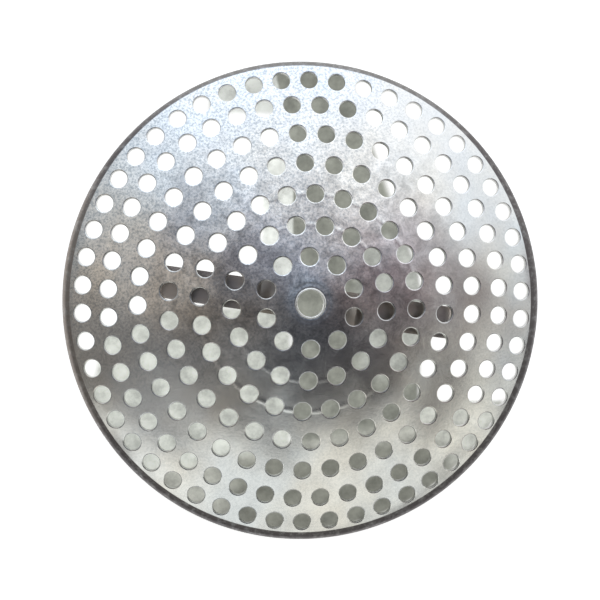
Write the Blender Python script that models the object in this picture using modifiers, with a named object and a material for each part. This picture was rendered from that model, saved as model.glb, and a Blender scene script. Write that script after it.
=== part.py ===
"""Domed drain cover: a perforated dome, a strap that turns below it, and the hollow rivet that joins them.

Metres, +Z up. The origin is the middle of the rim's lower edge, and the dome's axis is Z.
"""
import math

import bmesh
import bpy

MM = 0.001

# Dome: one sheet with a flat seat, a knee, a cone that steepens as a large circle does, a shoulder and a straight lip
DOME_DIAMETER = 114.0 * MM
SHEET = 0.8 * MM
SEAT_RADIUS = 4.5 * MM
CONE_DEG = 8.9
KNEE_LENGTH = 0.9 * MM
CROWN_RADIUS = 291.0 * MM
SHOULDER_RADIUS = 2.05 * MM
LIP_LENGTH = 3.0 * MM

# Holes: the rings lie between the first and the last ring, measured along the sheet from the middle
HOLE_DIAMETER = 4.15 * MM
HOLE_WEB = 2.63 * MM
FIRST_RING = 10.7 * MM
LAST_RING_MARGIN = 3.55 * MM
RING_PLACE_SHARES = (0.0, 0.1745, 0.345, 0.516, 0.6855, 0.853, 1.0)
RING_STARTS_DEG = (-17.2, -6.0, -3.25, -4.65, -3.95, -3.85, -4.35)

# Hollow rivet in the middle
BORE_DIAMETER = 5.8 * MM
BARREL_WALL = 0.3 * MM
HEAD_DIAMETER = 7.5 * MM
HEAD_HEIGHT = 0.45 * MM
HEAD_EDGE_SHARE = 0.33
HEAD_SHOULDER_SHARE = 0.8
CURL_DIAMETER = 8.6 * MM
CURL_HEIGHT = 0.7 * MM
CURL_EDGE_SHARES = (0.33, 0.7)
CURL_SHOULDER_SHARE = 0.8
CURL_MOUTH_SHARE = 0.5

# Strap: a flat strip with a round eye, stepped down from the dome and turned down at its ends
STRAP_WIDTH = 7.6 * MM
STRAP_THICKNESS = 0.8 * MM
STRAP_SPAN = 71.0 * MM
STRAP_TURN_DEG = -8.2
EYE_DIAMETER = 10.2 * MM
EYE_MARGIN = 0.2 * MM
STEP_RUN = 6.2 * MM
STEP_DROP = 4.4 * MM
LEG_FLARE = 0.6 * MM
TOE_LENGTH = 3.0 * MM
TOE_RISE = 0.7 * MM
BEND_RADIUS = 1.3 * MM
CORNER_RADIUS = 1.5 * MM

# Clearances
SEAT_GAP = 0.3 * MM
BARREL_GAP = 0.25 * MM
ARM_CLEARANCE = 1.2 * MM
TOE_CLEARANCE = 0.9 * MM

# Facets
RIM_SIDES = 72
HOLE_SIDES = 8
RIVET_SIDES = 32
SHOULDER_STEPS = 4
KNEE_ROW_SHARES = (2.5, 1.0, 0.0)
CORNER_STEPS = 3
EYE_STEPS = 10
BEND_STEPS = 3
SLOPE_STEPS = 600
WELD = 0.01 * MM

DOME_RADIUS = DOME_DIAMETER / 2
CONE = math.radians(CONE_DEG)
BARREL_RADIUS = BORE_DIAMETER / 2 + BARREL_WALL
PIVOT_HOLE_RADIUS = BARREL_RADIUS + BARREL_GAP


def clear_scene():
    for thing in list(bpy.data.objects):
        bpy.data.objects.remove(thing, do_unlink=True)


def new_collection(name):
    collection = bpy.data.collections.new(name)
    bpy.context.scene.collection.children.link(collection)
    return collection


def material(name, colour, metallic, roughness):
    made = bpy.data.materials.new(name)
    made.use_nodes = True
    shader = made.node_tree.nodes["Principled BSDF"]
    shader.inputs["Base Color"].default_value = (*colour, 1.0)
    shader.inputs["Metallic"].default_value = metallic
    shader.inputs["Roughness"].default_value = roughness
    return made


def add_object(collection, name, mesh, finish):
    thing = bpy.data.objects.new(name, mesh)
    collection.objects.link(thing)
    mesh.materials.clear()
    mesh.materials.append(finish)
    mesh.shade_smooth()
    mesh.set_sharp_from_angle(angle=math.radians(35))
    return thing


def circle_points(radius, sides, centre=(0.0, 0.0)):
    turns = [2 * math.pi * i / sides for i in range(sides)]
    return [(centre[0] + radius * math.cos(t), centre[1] + radius * math.sin(t)) for t in turns]


def filled_sheet(name, outlines):
    """Mesh of one flat sheet: the first outline filled, with the others left out as holes."""
    curve = bpy.data.curves.new(name, "CURVE")
    curve.dimensions = "2D"
    curve.fill_mode = "BOTH"
    for outline in outlines:
        spline = curve.splines.new("POLY")
        spline.points.add(len(outline) - 1)
        for point, (x, y) in zip(spline.points, outline):
            point.co = (x, y, 0.0, 1.0)
        spline.use_cyclic_u = True
    guide = bpy.data.objects.new(name + "_outline", curve)
    bpy.context.scene.collection.objects.link(guide)
    evaluated = guide.evaluated_get(bpy.context.evaluated_depsgraph_get())
    mesh = bpy.data.meshes.new_from_object(evaluated)
    mesh.name = name
    bpy.data.objects.remove(guide, do_unlink=True)
    return mesh


def even_triangles(sheet):
    """Welds a flat filled sheet, turns its faces up and flips its edges to well-shaped triangles."""
    bmesh.ops.remove_doubles(sheet, verts=sheet.verts, dist=WELD)
    bmesh.ops.triangulate(sheet, faces=sheet.faces)
    bmesh.ops.beautify_fill(sheet, faces=sheet.faces, edges=[e for e in sheet.edges if not e.is_boundary])
    for face in sheet.faces:
        face.normal_update()
        if face.normal.z < 0:
            face.normal_flip()


def thicken(thing, thickness):
    shell = thing.modifiers.new("sheet thickness", "SOLIDIFY")
    shell.thickness = thickness
    shell.offset = -1
    shell.use_even_offset = True
    shell.use_quality_normals = True


def slope_at(along):
    """Angle of the dome's surface at a distance along the sheet from the middle.

    Past the seat the knee turns it down to the cone's angle, and the crown's large circle goes on turning it.
    """
    past_seat = max(0.0, along - SEAT_RADIUS)
    return CONE * (1 - math.exp(-past_seat / KNEE_LENGTH)) + past_seat / CROWN_RADIUS


def dome_profile():
    """Rows of (distance along the sheet, radius, height) down the dome's outer surface, and the crown's length.

    The crown is added up in short steps of the slope, until the shoulder's arc just reaches the dome's radius.
    """
    step = DOME_RADIUS / SLOPE_STEPS
    along, radius, height = 0.0, 0.0, 0.0
    rows = [(along, radius, height)]
    angle = 0.0
    while radius + SHOULDER_RADIUS * (1 - math.sin(angle)) < DOME_RADIUS:
        angle = slope_at(along + step / 2)
        along += step
        radius += step * math.cos(angle)
        height -= step * math.sin(angle)
        rows.append((along, radius, height))
    crown_length = along
    hub = (DOME_RADIUS - SHOULDER_RADIUS, height - SHOULDER_RADIUS * math.cos(angle))
    for i in range(1, SHOULDER_STEPS + 1):
        turn = angle + (math.pi / 2 - angle) * i / SHOULDER_STEPS
        arc = SHOULDER_RADIUS * (turn - angle)
        place = (hub[0] + SHOULDER_RADIUS * math.sin(turn), hub[1] + SHOULDER_RADIUS * math.cos(turn))
        rows.append((crown_length + arc, *place))
    rows.append((rows[-1][0] + LIP_LENGTH, DOME_RADIUS, rows[-1][2] - LIP_LENGTH))
    floor = rows[-1][2]
    return [(a, r, h - floor) for a, r, h in rows], crown_length


def read_rows(rows, value, column=0):
    """Straight reading between the two rows whose entries in a rising column lie on either side of a value."""
    low, high = 0, len(rows) - 1
    while high - low > 1:
        middle = (low + high) // 2
        if rows[middle][column] <= value:
            low = middle
        else:
            high = middle
    share = (value - rows[low][column]) / (rows[high][column] - rows[low][column])
    return [a + (b - a) * share for a, b in zip(rows[low], rows[high])]


DOME_ROWS, CROWN_LENGTH = dome_profile()
DOME_TOP = DOME_ROWS[0][2]
STRAP_TOP = DOME_TOP - SHEET - SEAT_GAP
CURL_TOP = STRAP_TOP - STRAP_THICKNESS - SEAT_GAP


def hole_places():
    """Flat places of the small holes, ring by ring, each ring with as many as its length takes."""
    last_ring = CROWN_LENGTH - LAST_RING_MARGIN
    places = []
    for share, start in zip(RING_PLACE_SHARES, RING_STARTS_DEG):
        ring = FIRST_RING + (last_ring - FIRST_RING) * share
        count = round(2 * math.pi * ring / (HOLE_DIAMETER + HOLE_WEB))
        for i in range(count):
            turn = math.radians(start) + 2 * math.pi * i / count
            places.append((ring * math.cos(turn), ring * math.sin(turn)))
    return places


def draw_edge(sheet, start, places):
    """Grows a flat sheet from its edge circle of one radius to further circles, outwards or inwards."""
    edge = [e for e in sheet.edges if e.is_boundary and abs(e.verts[0].co.length - start) < WELD]
    for along in places:
        drawn = bmesh.ops.extrude_edge_only(sheet, edges=edge)["geom"]
        edge = [part for part in drawn if isinstance(part, bmesh.types.BMEdge)]
        for vert in [part for part in drawn if isinstance(part, bmesh.types.BMVert)]:
            vert.co = vert.co.normalized() * along


def perforated_dome(collection, finish):
    """Flat punched blank, drawn out for the shoulder and lip and in for the seat, then pressed to the profile."""
    holes = [circle_points(HOLE_DIAMETER / 2, HOLE_SIDES, place) for place in hole_places()]
    knee_rows = [SEAT_RADIUS + KNEE_LENGTH * share for share in KNEE_ROW_SHARES]
    outlines = [circle_points(CROWN_LENGTH, RIM_SIDES), circle_points(knee_rows[0], RIVET_SIDES), *holes]
    mesh = filled_sheet("perforated_dome", outlines)
    sheet = bmesh.new()
    sheet.from_mesh(mesh)
    even_triangles(sheet)
    draw_edge(sheet, CROWN_LENGTH, [along for along, _, _ in DOME_ROWS[-SHOULDER_STEPS - 1:]])
    draw_edge(sheet, knee_rows[0], knee_rows[1:] + [PIVOT_HOLE_RADIUS])
    for vert in sheet.verts:
        along = vert.co.length
        _, radius, height = read_rows(DOME_ROWS, along)
        vert.co = (vert.co.x * radius / along, vert.co.y * radius / along, height)
    bmesh.ops.recalc_face_normals(sheet, faces=sheet.faces)
    if sum(face.normal.z for face in sheet.faces) < 0:
        bmesh.ops.reverse_faces(sheet, faces=sheet.faces)
    sheet.to_mesh(mesh)
    sheet.free()
    thing = add_object(collection, "perforated_dome", mesh, finish)
    thicken(thing, SHEET)
    return thing


def rounded_path(corners, radius):
    """Corner points of a path with each inner corner swept by an arc of one radius."""
    points = [corners[0]]
    for before, corner, after in zip(corners, corners[1:], corners[2:]):
        come = math.atan2(corner[1] - before[1], corner[0] - before[0])
        leave = math.atan2(after[1] - corner[1], after[0] - corner[0])
        turn = math.remainder(leave - come, 2 * math.pi)
        side = math.copysign(1.0, turn)
        cut = radius * math.tan(abs(turn) / 2)
        start = (corner[0] - cut * math.cos(come), corner[1] - cut * math.sin(come))
        hub = (start[0] - side * radius * math.sin(come), start[1] + side * radius * math.cos(come))
        for i in range(BEND_STEPS + 1):
            heading = come + turn * i / BEND_STEPS
            place = (hub[0] + side * radius * math.sin(heading), hub[1] - side * radius * math.cos(heading))
            points.append(place)
    points.append(corners[-1])
    return points


def strap_profile():
    """Rows of (distance along the strip, reach, height) for the upper surface of one arm, from the middle out."""
    reach = STRAP_SPAN / 2
    step_start = EYE_DIAMETER / 2 + EYE_MARGIN
    dome_over_end = read_rows(DOME_ROWS, reach, column=1)[2]
    corners = [
        (0.0, STRAP_TOP),
        (step_start, STRAP_TOP),
        (step_start + STEP_RUN, STRAP_TOP - STEP_DROP),
        (reach - LEG_FLARE, dome_over_end - SHEET - ARM_CLEARANCE),
        (reach, TOE_CLEARANCE),
        (reach - TOE_LENGTH, TOE_CLEARANCE + TOE_RISE),
    ]
    points = rounded_path(corners, BEND_RADIUS)
    rows = [(0.0, *points[0])]
    for before, point in zip(points, points[1:]):
        rows.append((rows[-1][0] + math.dist(before, point), *point))
    return rows


def strap_outline(length):
    """Flat outline of the strip: two arms with rounded ends, and the round eye that bulges past their edges."""
    half = STRAP_WIDTH / 2
    eye = EYE_DIAMETER / 2
    bulge = math.acos(half / eye)
    side = []
    for i in range(CORNER_STEPS + 1):
        turn = math.pi / 2 * i / CORNER_STEPS
        x = length - CORNER_RADIUS + CORNER_RADIUS * math.cos(turn)
        side.append((x, half - CORNER_RADIUS + CORNER_RADIUS * math.sin(turn)))
    for i in range(EYE_STEPS + 1):
        turn = math.pi / 2 - bulge + 2 * bulge * i / EYE_STEPS
        side.append((eye * math.cos(turn), eye * math.sin(turn)))
    for x, y in side[CORNER_STEPS::-1]:
        side.append((-x, y))
    return side + [(-x, -y) for x, y in side]


def spring_strap(collection, finish):
    """Flat blank cut across at every bend row, then laid along the arm's profile."""
    rows = strap_profile()
    length = rows[-1][0]
    mesh = filled_sheet("spring_strap", [strap_outline(length), circle_points(PIVOT_HOLE_RADIUS, RIVET_SIDES)])
    sheet = bmesh.new()
    sheet.from_mesh(mesh)
    even_triangles(sheet)
    for along, _, _ in rows[1:-1]:
        for place in (along, -along):
            parts = [*sheet.verts, *sheet.edges, *sheet.faces]
            bmesh.ops.bisect_plane(sheet, geom=parts, plane_co=(place, 0, 0), plane_no=(1, 0, 0), dist=WELD)
    bmesh.ops.triangulate(sheet, faces=sheet.faces)
    for vert in sheet.verts:
        _, reach, height = read_rows(rows, abs(vert.co.x))
        vert.co = (math.copysign(reach, vert.co.x), vert.co.y, height - STRAP_TOP)
    sheet.to_mesh(mesh)
    sheet.free()
    thing = add_object(collection, "spring_strap", mesh, finish)
    thing.location = (0.0, 0.0, STRAP_TOP)
    thing.rotation_euler = (0.0, 0.0, math.radians(STRAP_TURN_DEG))
    thicken(thing, STRAP_THICKNESS)
    return thing


def rivet_profile():
    """Closed outline of the rivet's wall, down the outside and up the bore."""
    bore = BORE_DIAMETER / 2
    head = HEAD_DIAMETER / 2
    curl = CURL_DIAMETER / 2
    head_base = DOME_TOP + SEAT_GAP
    crest = (bore + head) / 2
    curl_crest = (BARREL_RADIUS + curl) / 2
    head_edge = head_base + HEAD_HEIGHT * HEAD_EDGE_SHARE
    head_shoulder = head_base + HEAD_HEIGHT * HEAD_SHOULDER_SHARE
    curl_edges = [CURL_TOP - CURL_HEIGHT * share for share in CURL_EDGE_SHARES]
    return [
        (crest, head_base + HEAD_HEIGHT),
        ((crest + head) / 2, head_shoulder),
        (head, head_edge),
        (head, head_base),
        (BARREL_RADIUS, head_base),
        (BARREL_RADIUS, CURL_TOP),
        (curl_crest, CURL_TOP),
        (curl, curl_edges[0]),
        (curl, curl_edges[1]),
        (curl_crest, CURL_TOP - CURL_HEIGHT),
        (BARREL_RADIUS, CURL_TOP - CURL_HEIGHT * CURL_SHOULDER_SHARE),
        (bore, CURL_TOP - CURL_HEIGHT * CURL_MOUTH_SHARE),
        (bore, head_edge),
        ((crest + bore) / 2, head_shoulder),
    ]


def hollow_rivet(collection, finish):
    mesh = bpy.data.meshes.new("hollow_rivet")
    outline = rivet_profile()
    count = len(outline)
    points = [(x, 0.0, z) for x, z in outline]
    mesh.from_pydata(points, [(i, (i + 1) % count) for i in range(count)], [])
    thing = add_object(collection, "hollow_rivet", mesh, finish)
    turned = thing.modifiers.new("turned", "SCREW")
    turned.steps = RIVET_SIDES
    turned.render_steps = RIVET_SIDES
    turned.use_merge_vertices = True
    turned.merge_threshold = WELD
    return thing


def main():
    clear_scene()
    cover = new_collection("drain_protector")
    plated = material("plated_sheet", (0.62, 0.62, 0.60), 1.0, 0.36)
    spring = material("spring_sheet", (0.42, 0.40, 0.38), 1.0, 0.40)
    bright = material("bright_rivet", (0.78, 0.78, 0.78), 1.0, 0.22)
    perforated_dome(cover, plated)
    spring_strap(cover, spring)
    hollow_rivet(cover, bright)


main()
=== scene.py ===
"""Looks of the domed drain cover: its pressed and punched sheet, the strap below it and the hollow rivet.

Metres, +Z up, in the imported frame: the rim's lower edge lies on z = 0 and the dome's axis is Z.
"""
import math

import bmesh
import bpy
import numpy as np
from mathutils import Matrix, Vector


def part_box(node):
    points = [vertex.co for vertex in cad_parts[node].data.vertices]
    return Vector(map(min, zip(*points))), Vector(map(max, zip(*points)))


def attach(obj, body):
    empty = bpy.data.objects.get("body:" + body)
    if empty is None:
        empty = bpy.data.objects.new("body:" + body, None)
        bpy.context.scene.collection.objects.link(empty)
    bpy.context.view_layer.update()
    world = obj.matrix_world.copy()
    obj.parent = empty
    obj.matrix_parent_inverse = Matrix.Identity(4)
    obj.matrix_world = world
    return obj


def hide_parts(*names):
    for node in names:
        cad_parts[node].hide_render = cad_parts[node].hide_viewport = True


MM = 0.001

# Photograph and camera
PHOTO_PX = 600
FOCAL_PX = 1300
RIM_CENTRE_PX = (304.2, 301.5)
RIM_PLANE_SCALE = 0.2388 * MM  # size of one pixel at the widest circle
CAMERA_LEAN_LEFT_DEG = 5.84
CAMERA_LEAN_TOP_DEG = 1.65
SENSOR_MM = 36.0

# Pressed sheet, as in the solids
SHEET = 0.8 * MM
SEAT_RADIUS = 4.5 * MM
CONE = math.radians(8.9)
KNEE_LENGTH = 0.9 * MM
CROWN_RADIUS = 291.0 * MM
SHOULDER_RADIUS = 2.05 * MM
LIP_LENGTH = 3.0 * MM

# Punched holes, as in the solids
HOLE_RADIUS = 2.075 * MM
HOLE_WEB = 2.63 * MM
FIRST_RING = 10.7 * MM
LAST_RING_MARGIN = 3.55 * MM
RING_PLACE_SHARES = np.array([0.0, 0.1745, 0.345, 0.516, 0.6855, 0.853, 1.0])
RING_STARTS_DEG = np.array([-17.2, -6.0, -3.25, -4.65, -3.95, -3.85, -4.35])

# Fine shape of the sheet, which the solids leave out
PUNCH_ROLL = 0.22 * MM
PUNCH_BURR = 0.07 * MM
PUNCH_HOLD = 0.08 * MM  # flat ring round each hole's lip and burr
BAND_MARGIN = 0.85 * MM  # sheet beside the holes, within a ring's band
CREASED_RINGS = [1, 2]
CREASE_HEIGHT = 0.055 * MM
CREASE_WIDTH = 0.28 * MM
CREASE_STRONG_TURN = math.radians(65)
CREASE_WEAKEST = 0.12
GROOVE_DEPTH = 0.02 * MM
GROOVE_WIDTH = 0.2 * MM
DISH_DEPTH = 0.05 * MM
DISH_FADE = 6.0 * MM
WAVE_HEIGHT = 0.045 * MM
WAVES = [  # length across, length up, phase
    (23.0 * MM, 28.0 * MM, 0.7),
    (-31.0 * MM, 35.0 * MM, 2.2),
    (17.0 * MM, -52.0 * MM, 4.1),
]
RIM_EDGE_ROUND = 0.15 * MM

# Rivet, as in the solids but seated flush
BORE_RADIUS = 2.98 * MM
BARREL_RADIUS = 3.2 * MM
BARREL_GAP = 0.25 * MM
HEAD_RADIUS = 3.55 * MM
HEAD_HEIGHT = 0.42 * MM
CURL_RADIUS = 4.3 * MM
CURL_HEIGHT = 0.7 * MM
CURL_MOUTH_SHARE = 0.35
HEAD_LIFT = 0.01 * MM
SEAT_GAP = 0.3 * MM

# Strap, as in the solids
STRAP_WIDTH = 7.6 * MM
STRAP_THICKNESS = 0.8 * MM
STRAP_REACH = 35.5 * MM
STRAP_TURN = math.radians(-8.2)
EYE_RADIUS = 5.1 * MM
EYE_MARGIN = 0.2 * MM
STEP_RUN = 6.2 * MM
STEP_DROP = 4.4 * MM
LEG_FLARE = 0.6 * MM
TOE_LENGTH = 3.0 * MM
TOE_RISE = 0.7 * MM
BEND_RADIUS = 1.3 * MM
CORNER_RADIUS = 1.5 * MM
ARM_CLEARANCE = 1.2 * MM
TOE_CLEARANCE = 0.9 * MM
STRAP_EDGE_ROUND = 0.2 * MM

# Noise values between which most of a pattern lies
NOISE_REACH = (0.3, 0.7)

# Plating of the sheet
TINT_SIZE = 26 * MM
TINTS = [(0.36, "#E6E9ED"), (0.64, "#EEEAE4")]  # noise value, colour
SHEET_ROUGHNESS = (0.18, 0.26)
PLATING_GRAIN = 0.55 * MM
GRAIN_HEIGHT = 0.004 * MM
PLATING_CLOUD = 4.5 * MM
CLOUD_HEIGHT = 0.015 * MM
SPANGLE = [(0.34, "#C4CAD0"), (0.50, "#ECEEF0"), (0.64, "#FFFFFF")]
SPANGLE_SIDES = [  # direction in which it gets stronger, where it starts, where it is full
    ((0.0, 1.0, 0.0), -25 * MM, 8 * MM),
    ((-1.0, 0.0, 0.0), -32 * MM, 2 * MM),
]
SPANGLE_CALM = 0.22  # share of it that is left elsewhere
CALM_TONE = "#F2F2F0"
# Painted highlight and shade: smudges of lighter and darker tone round the middle, in place of the streaky
# reflections of the sheet's uneven relief
PAINTED_SHEEN_SIZE = 3.0 * MM
PAINTED_SHEEN_TONES = (-0.50, 0.64)  # change of tone where darkest and where lightest
PAINTED_SHEEN_SIDES = [
    ((0.0, 1.0, 0.0), -25 * MM, 5 * MM),
    ((0.0, -1.0, 0.0), -48 * MM, -15 * MM),
    ((-1.0, 0.0, 0.0), -45 * MM, -15 * MM),
    ((1.0, 0.0, 0.0), -62 * MM, -12 * MM),
]

# Painted reflection: soft round tints of the sheet, brown at the left and violet and grey about the middle,
# that stand for the warm and cool surroundings it mirrors: middle, radius, strength, tone
TINT_PATCH_CORE = 0.1  # share of the radius inside which the stain is full
TINT_PATCH_BREAKS = 3.0  # turns of noise along one radius
SHEET_REFLECTION_TINTS = [
    ((0.020, 0.010, 0.015), 20 * MM, 0.42, "#CDBAC4"),
    ((-0.024, 0.002, 0.015), 22 * MM, 0.4, "#E0C8AA"),
    ((-0.008, 0.008, 0.017), 14 * MM, 0.2, "#C8CEDA"),
    ((0.006, -0.010, 0.016), 19 * MM, 0.6, "#C2C0C6"),
    ((0.046, -0.006, 0.008), 30 * MM, 0.6, "#EAEEF6"),
]

# Painted shade on the drawn rim: a dark band in its colour, in place of the dark surroundings that its
# shoulder mirrors
RIM_SHADE_BAND = (2.12 * MM, 1.98 * MM)  # how far in from the widest circle it starts and is full
RIM_SHADE_NARROWING = (5 * MM, 57 * MM)  # from where to where it gets narrower towards the back
RIM_SHADE_NARROWS = 0.85 * MM
RIM_SHADE_SLANT = 0.004  # how much wider it gets per length to the right
RIM_SHADE_TONE = "#646060"
RIM_SHADE_LEFT_TONE = ("#8E8680", (44 * MM, 56 * MM))  # tone at the left, where it starts and is full
RIM_SHADE_BACK_TONE = ("#807E7C", (33 * MM, 57 * MM))  # the same at the back
RIM_ROUGHNESS = 0.42
RIM_MOTTLE = (1.6 * MM, (0.48, 0.78), 0.62)  # size, noise values, least strength
LIP_SHADE_FADE = (2.9 * MM, 1.6 * MM)  # heights between which the painted shade is a little less on the lip
LIP_SHADE_LOST = 0.12

# Bare walls of the punched holes
PUNCH_CUT = ("#D6D6D4", 0.45)  # tone, roughness
CUT_UPRIGHT = (0.7, 0.45)  # upward part of a face's normal where a wall starts and is full

# Steel of the strap
STREAK = (0.7 * MM, 12.0)  # width, and how many times as long
STREAK_HEIGHT = 0.01 * MM
STRIP_STAIN = 6 * MM
STRIP_TONES = [(0.38, "#B2ADAB"), (0.62, "#C8BFB6")]
STRIP_ROUGHNESS = (0.28, 0.42)

# Plating of the rivet
SMEAR = 0.8 * MM
RIVET_TONES = [(0.35, "#E4E4E0"), (0.65, "#F4F4F2")]
RIVET_ROUGHNESS = (0.24, 0.36)

# Surroundings, in linear colour, with soft edges as the reading where they start and where they are full
ROOM_LIGHT = (0.070, 0.070, 0.075)
WINDOW_LIGHT = (0.763, 0.892, 0.914)
WINDOW_CURVE = 0.736
WINDOW_EDGE = (0.316, 0.656)
WINDOW_FOOT = (0.1, 0.35)
WINDOW_LEFT_SHADE = (0.3, 0.8, 0.773)  # start, full, share of the light that is lost
WALL_LIGHT = (1.050, 1.068, 1.010)
WALL_CURVE = 0.442
WALL_EDGE = (0.568, 0.611)
WALL_FOOT = (0.50, 0.64)
LOW_WALLS = (0.50, 0.51, 0.50)
LOW_WALLS_EDGE = (0.48, 0.22)
RIGHT_PANEL = ((0.836, -0.297, 0.442), 36.5, (2.41, 2.50, 2.33))  # direction, sharpness, colour
SOFT_LIGHTS = [
    ((-0.556, 0.081, 0.825), 58.6, (0.544, 0.483, 0.392)),
    ((0.067, 0.140, 0.918), 82.5, (0.235, 0.321, 0.408)),
    ((-0.130, 0.760, 0.429), 4.2, (0.66, 0.647, 0.776)),
    ((0.547, 0.385, 0.381), 5.1, (0.329, 0.222, 0.207)),
    ((-0.307, -0.311, 0.520), 33.9, (0.311, 0.296, 0.269)),
]

# White board below the cover
BOARD_HALF = 3.0
BOARD_UNDER = (1.5 * MM, 2.5 * MM)  # how far inside the rim its shades start and are full
BOARD_WHITE = 0.8  # share of light that it gives back
BOARD_GLOW = (0.82, 0.86)  # outside and under the dome
BOARD_UNEVEN = 6 * MM
BOARD_TONES = [(0.3, "#FFFFFF"), (0.7, "#FAFAF9")]
BOARD_VARY = ((0.35, 0.65), (0.72, 1.28))  # noise values, strength of the shades there
# Painted shade on the board where it lies under the dome, in soft patches
BOARD_SHADES = [  # colour, and edges in millimetres as direction, where they start, where they are full
    ("#C4C7C0", [((-1.0, 0.0, 0.0), 2.0, 4.0), ((0.0, -1.0, 0.0), 0.0, 3.0),
                 ((0.42, -0.91, 0.0), -13.8, -12.0), ((0.97, -0.23, 0.0), -45.0, -43.0)]),
    ("#C9CCC7", [((-1.0, 0.0, 0.0), 3.0, 5.0), ((1.0, 0.0, 0.0), -24.0, -21.0),
                 ((0.0, 1.0, 0.0), 44.0, 46.0)]),
    ("#BDC0B9", [((1.0, 0.0, 0.0), 24.0, 28.0), ((0.0, -1.0, 0.0), 23.8, 25.5)]),
    ("#D6D9D4", [((1.0, 0.0, 0.0), -10.5, -9.0), ((-1.0, 0.0, 0.0), 1.0, 2.0),
                 ((0.0, 1.0, 0.0), 3.0, 5.0), ((0.0, -1.0, 0.0), -37.0, -34.5)]),
    ("#888A82", [((1.0, 0.22, 0.0), 4.9, 5.7), ((-1.0, 0.0, 0.0), -2.0, 0.0),
                 ((0.0, 1.0, 0.0), 30.0, 32.0)]),
    ("#888A82", [((1.0, 0.0, 0.0), -2.9, -2.0), ((-1.0, 0.0, 0.0), -29.5, -27.5),
                 ((-1.0, -0.36, 0.0), -31.5, -29.0)]),
    ("#AAADA7", [((1.0, 0.0, 0.0), 11.0, 17.0), ((-1.0, 0.0, 0.0), -29.5, -27.5),
                 ((-1.0, -0.36, 0.0), -31.5, -29.0), ((0.0, 1.0, 0.0), -21.0, -15.0),
                 ((0.0, -1.0, 0.0), -18.0, -12.0)]),
    ("#B0B1A9", [((0.18, -1.0, 0.0), 32.5, 36.0)]),
    ("#7E7F77", [((0.10, -1.0, 0.0), 34.0, 39.0), ((1.0, 0.0, 0.0), -26.0, -12.0)]),
    ("#BFC1BA", [((0.8, 0.6, 0.0), 1.0, 12.0), ((0.0, -1.0, 0.0), 24.0, 25.5)]),
]

# Facets
HOLE_SIDES = 40
ROLL_STEPS = 2
EDGE_STEPS = 3
SEAT_STEPS = 20
PRESS_STEPS = 700
SHOULDER_STEPS = 10
RIVET_SIDES = 96
ARC_STEPS = 8
EYE_ROWS = 5
BEVEL_STEPS = 3
WELD = 0.0008 * MM  # points that are closer become one

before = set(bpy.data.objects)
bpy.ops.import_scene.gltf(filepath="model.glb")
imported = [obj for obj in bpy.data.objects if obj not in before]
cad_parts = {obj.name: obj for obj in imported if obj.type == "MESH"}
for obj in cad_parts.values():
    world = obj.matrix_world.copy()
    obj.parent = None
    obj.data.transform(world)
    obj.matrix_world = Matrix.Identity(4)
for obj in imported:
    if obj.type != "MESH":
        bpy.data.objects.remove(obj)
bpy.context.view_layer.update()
dome_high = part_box("perforated_dome")[1]
DOME_RADIUS = dome_high.x
DOME_TOP = dome_high.z


def place_camera():
    """Looks at the middle of the dome's widest circle, leaning to the photograph's left and top.

    The distance is the focal length in pixels times the scale at that circle, and the shift puts the
    circle's middle on its pixel.
    """
    left, top = math.radians(CAMERA_LEAN_LEFT_DEG), math.radians(CAMERA_LEAN_TOP_DEG)
    back = Vector((-math.sin(left), math.sin(top), 1.0)).normalized()
    right = (Vector((1.0, 0.0, 0.0)) - back.x * back).normalized()
    up = back.cross(right)
    target = Vector((0.0, 0.0, LIP_LENGTH))
    lens = bpy.data.cameras.new("photo_lens")
    lens.sensor_width = SENSOR_MM
    lens.lens = SENSOR_MM * FOCAL_PX / PHOTO_PX
    lens.shift_x = -(RIM_CENTRE_PX[0] - PHOTO_PX / 2) / PHOTO_PX
    lens.shift_y = (RIM_CENTRE_PX[1] - PHOTO_PX / 2) / PHOTO_PX
    lens.clip_start = 0.01
    camera = bpy.data.objects.new("photo_camera", lens)
    bpy.context.scene.collection.objects.link(camera)
    turn = Matrix((right, up, back)).transposed().to_4x4()
    camera.matrix_world = Matrix.Translation(target + back * FOCAL_PX * RIM_PLANE_SCALE) @ turn
    bpy.context.scene.camera = camera


def linear(hex_colour):
    """Linear red, green and blue of an sRGB hex colour, with full alpha."""
    srgb = np.array([int(hex_colour[i:i + 2], 16) / 255 for i in (1, 3, 5)])
    rgb = np.where(srgb <= 0.04045, srgb / 12.92, ((srgb + 0.055) / 1.055) ** 2.4)
    return (*rgb.tolist(), 1.0)


def add_node(tree, kind, links=None, **settings):
    """Adds one shader node. Settings are its properties, or its inputs by name or, as in_0, by number."""
    made = tree.nodes.new("ShaderNode" + kind)
    for name, value in settings.items():
        if name.startswith("in_"):
            made.inputs[int(name[3:])].default_value = value
        elif hasattr(made, name):
            setattr(made, name, value)
        else:
            made.inputs[name.replace("_", " ").title()].default_value = value
    for name, source in (links or {}).items():
        tree.links.new(source, made.inputs[name])
    return made


def new_material(name):
    """A new material whose node tree is empty, and that tree."""
    made = bpy.data.materials.new(name)
    made.use_nodes = True
    made.node_tree.nodes.clear()
    return made, made.node_tree


def set_ramp(ramp, stops):
    """Stops are (place, hex colour) pairs, from low to high."""
    elements = ramp.color_ramp.elements
    while len(elements) < len(stops):
        elements.new(1.0)
    for element, (place, colour) in zip(elements, stops):
        element.position = place
        element.color = linear(colour)


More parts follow.
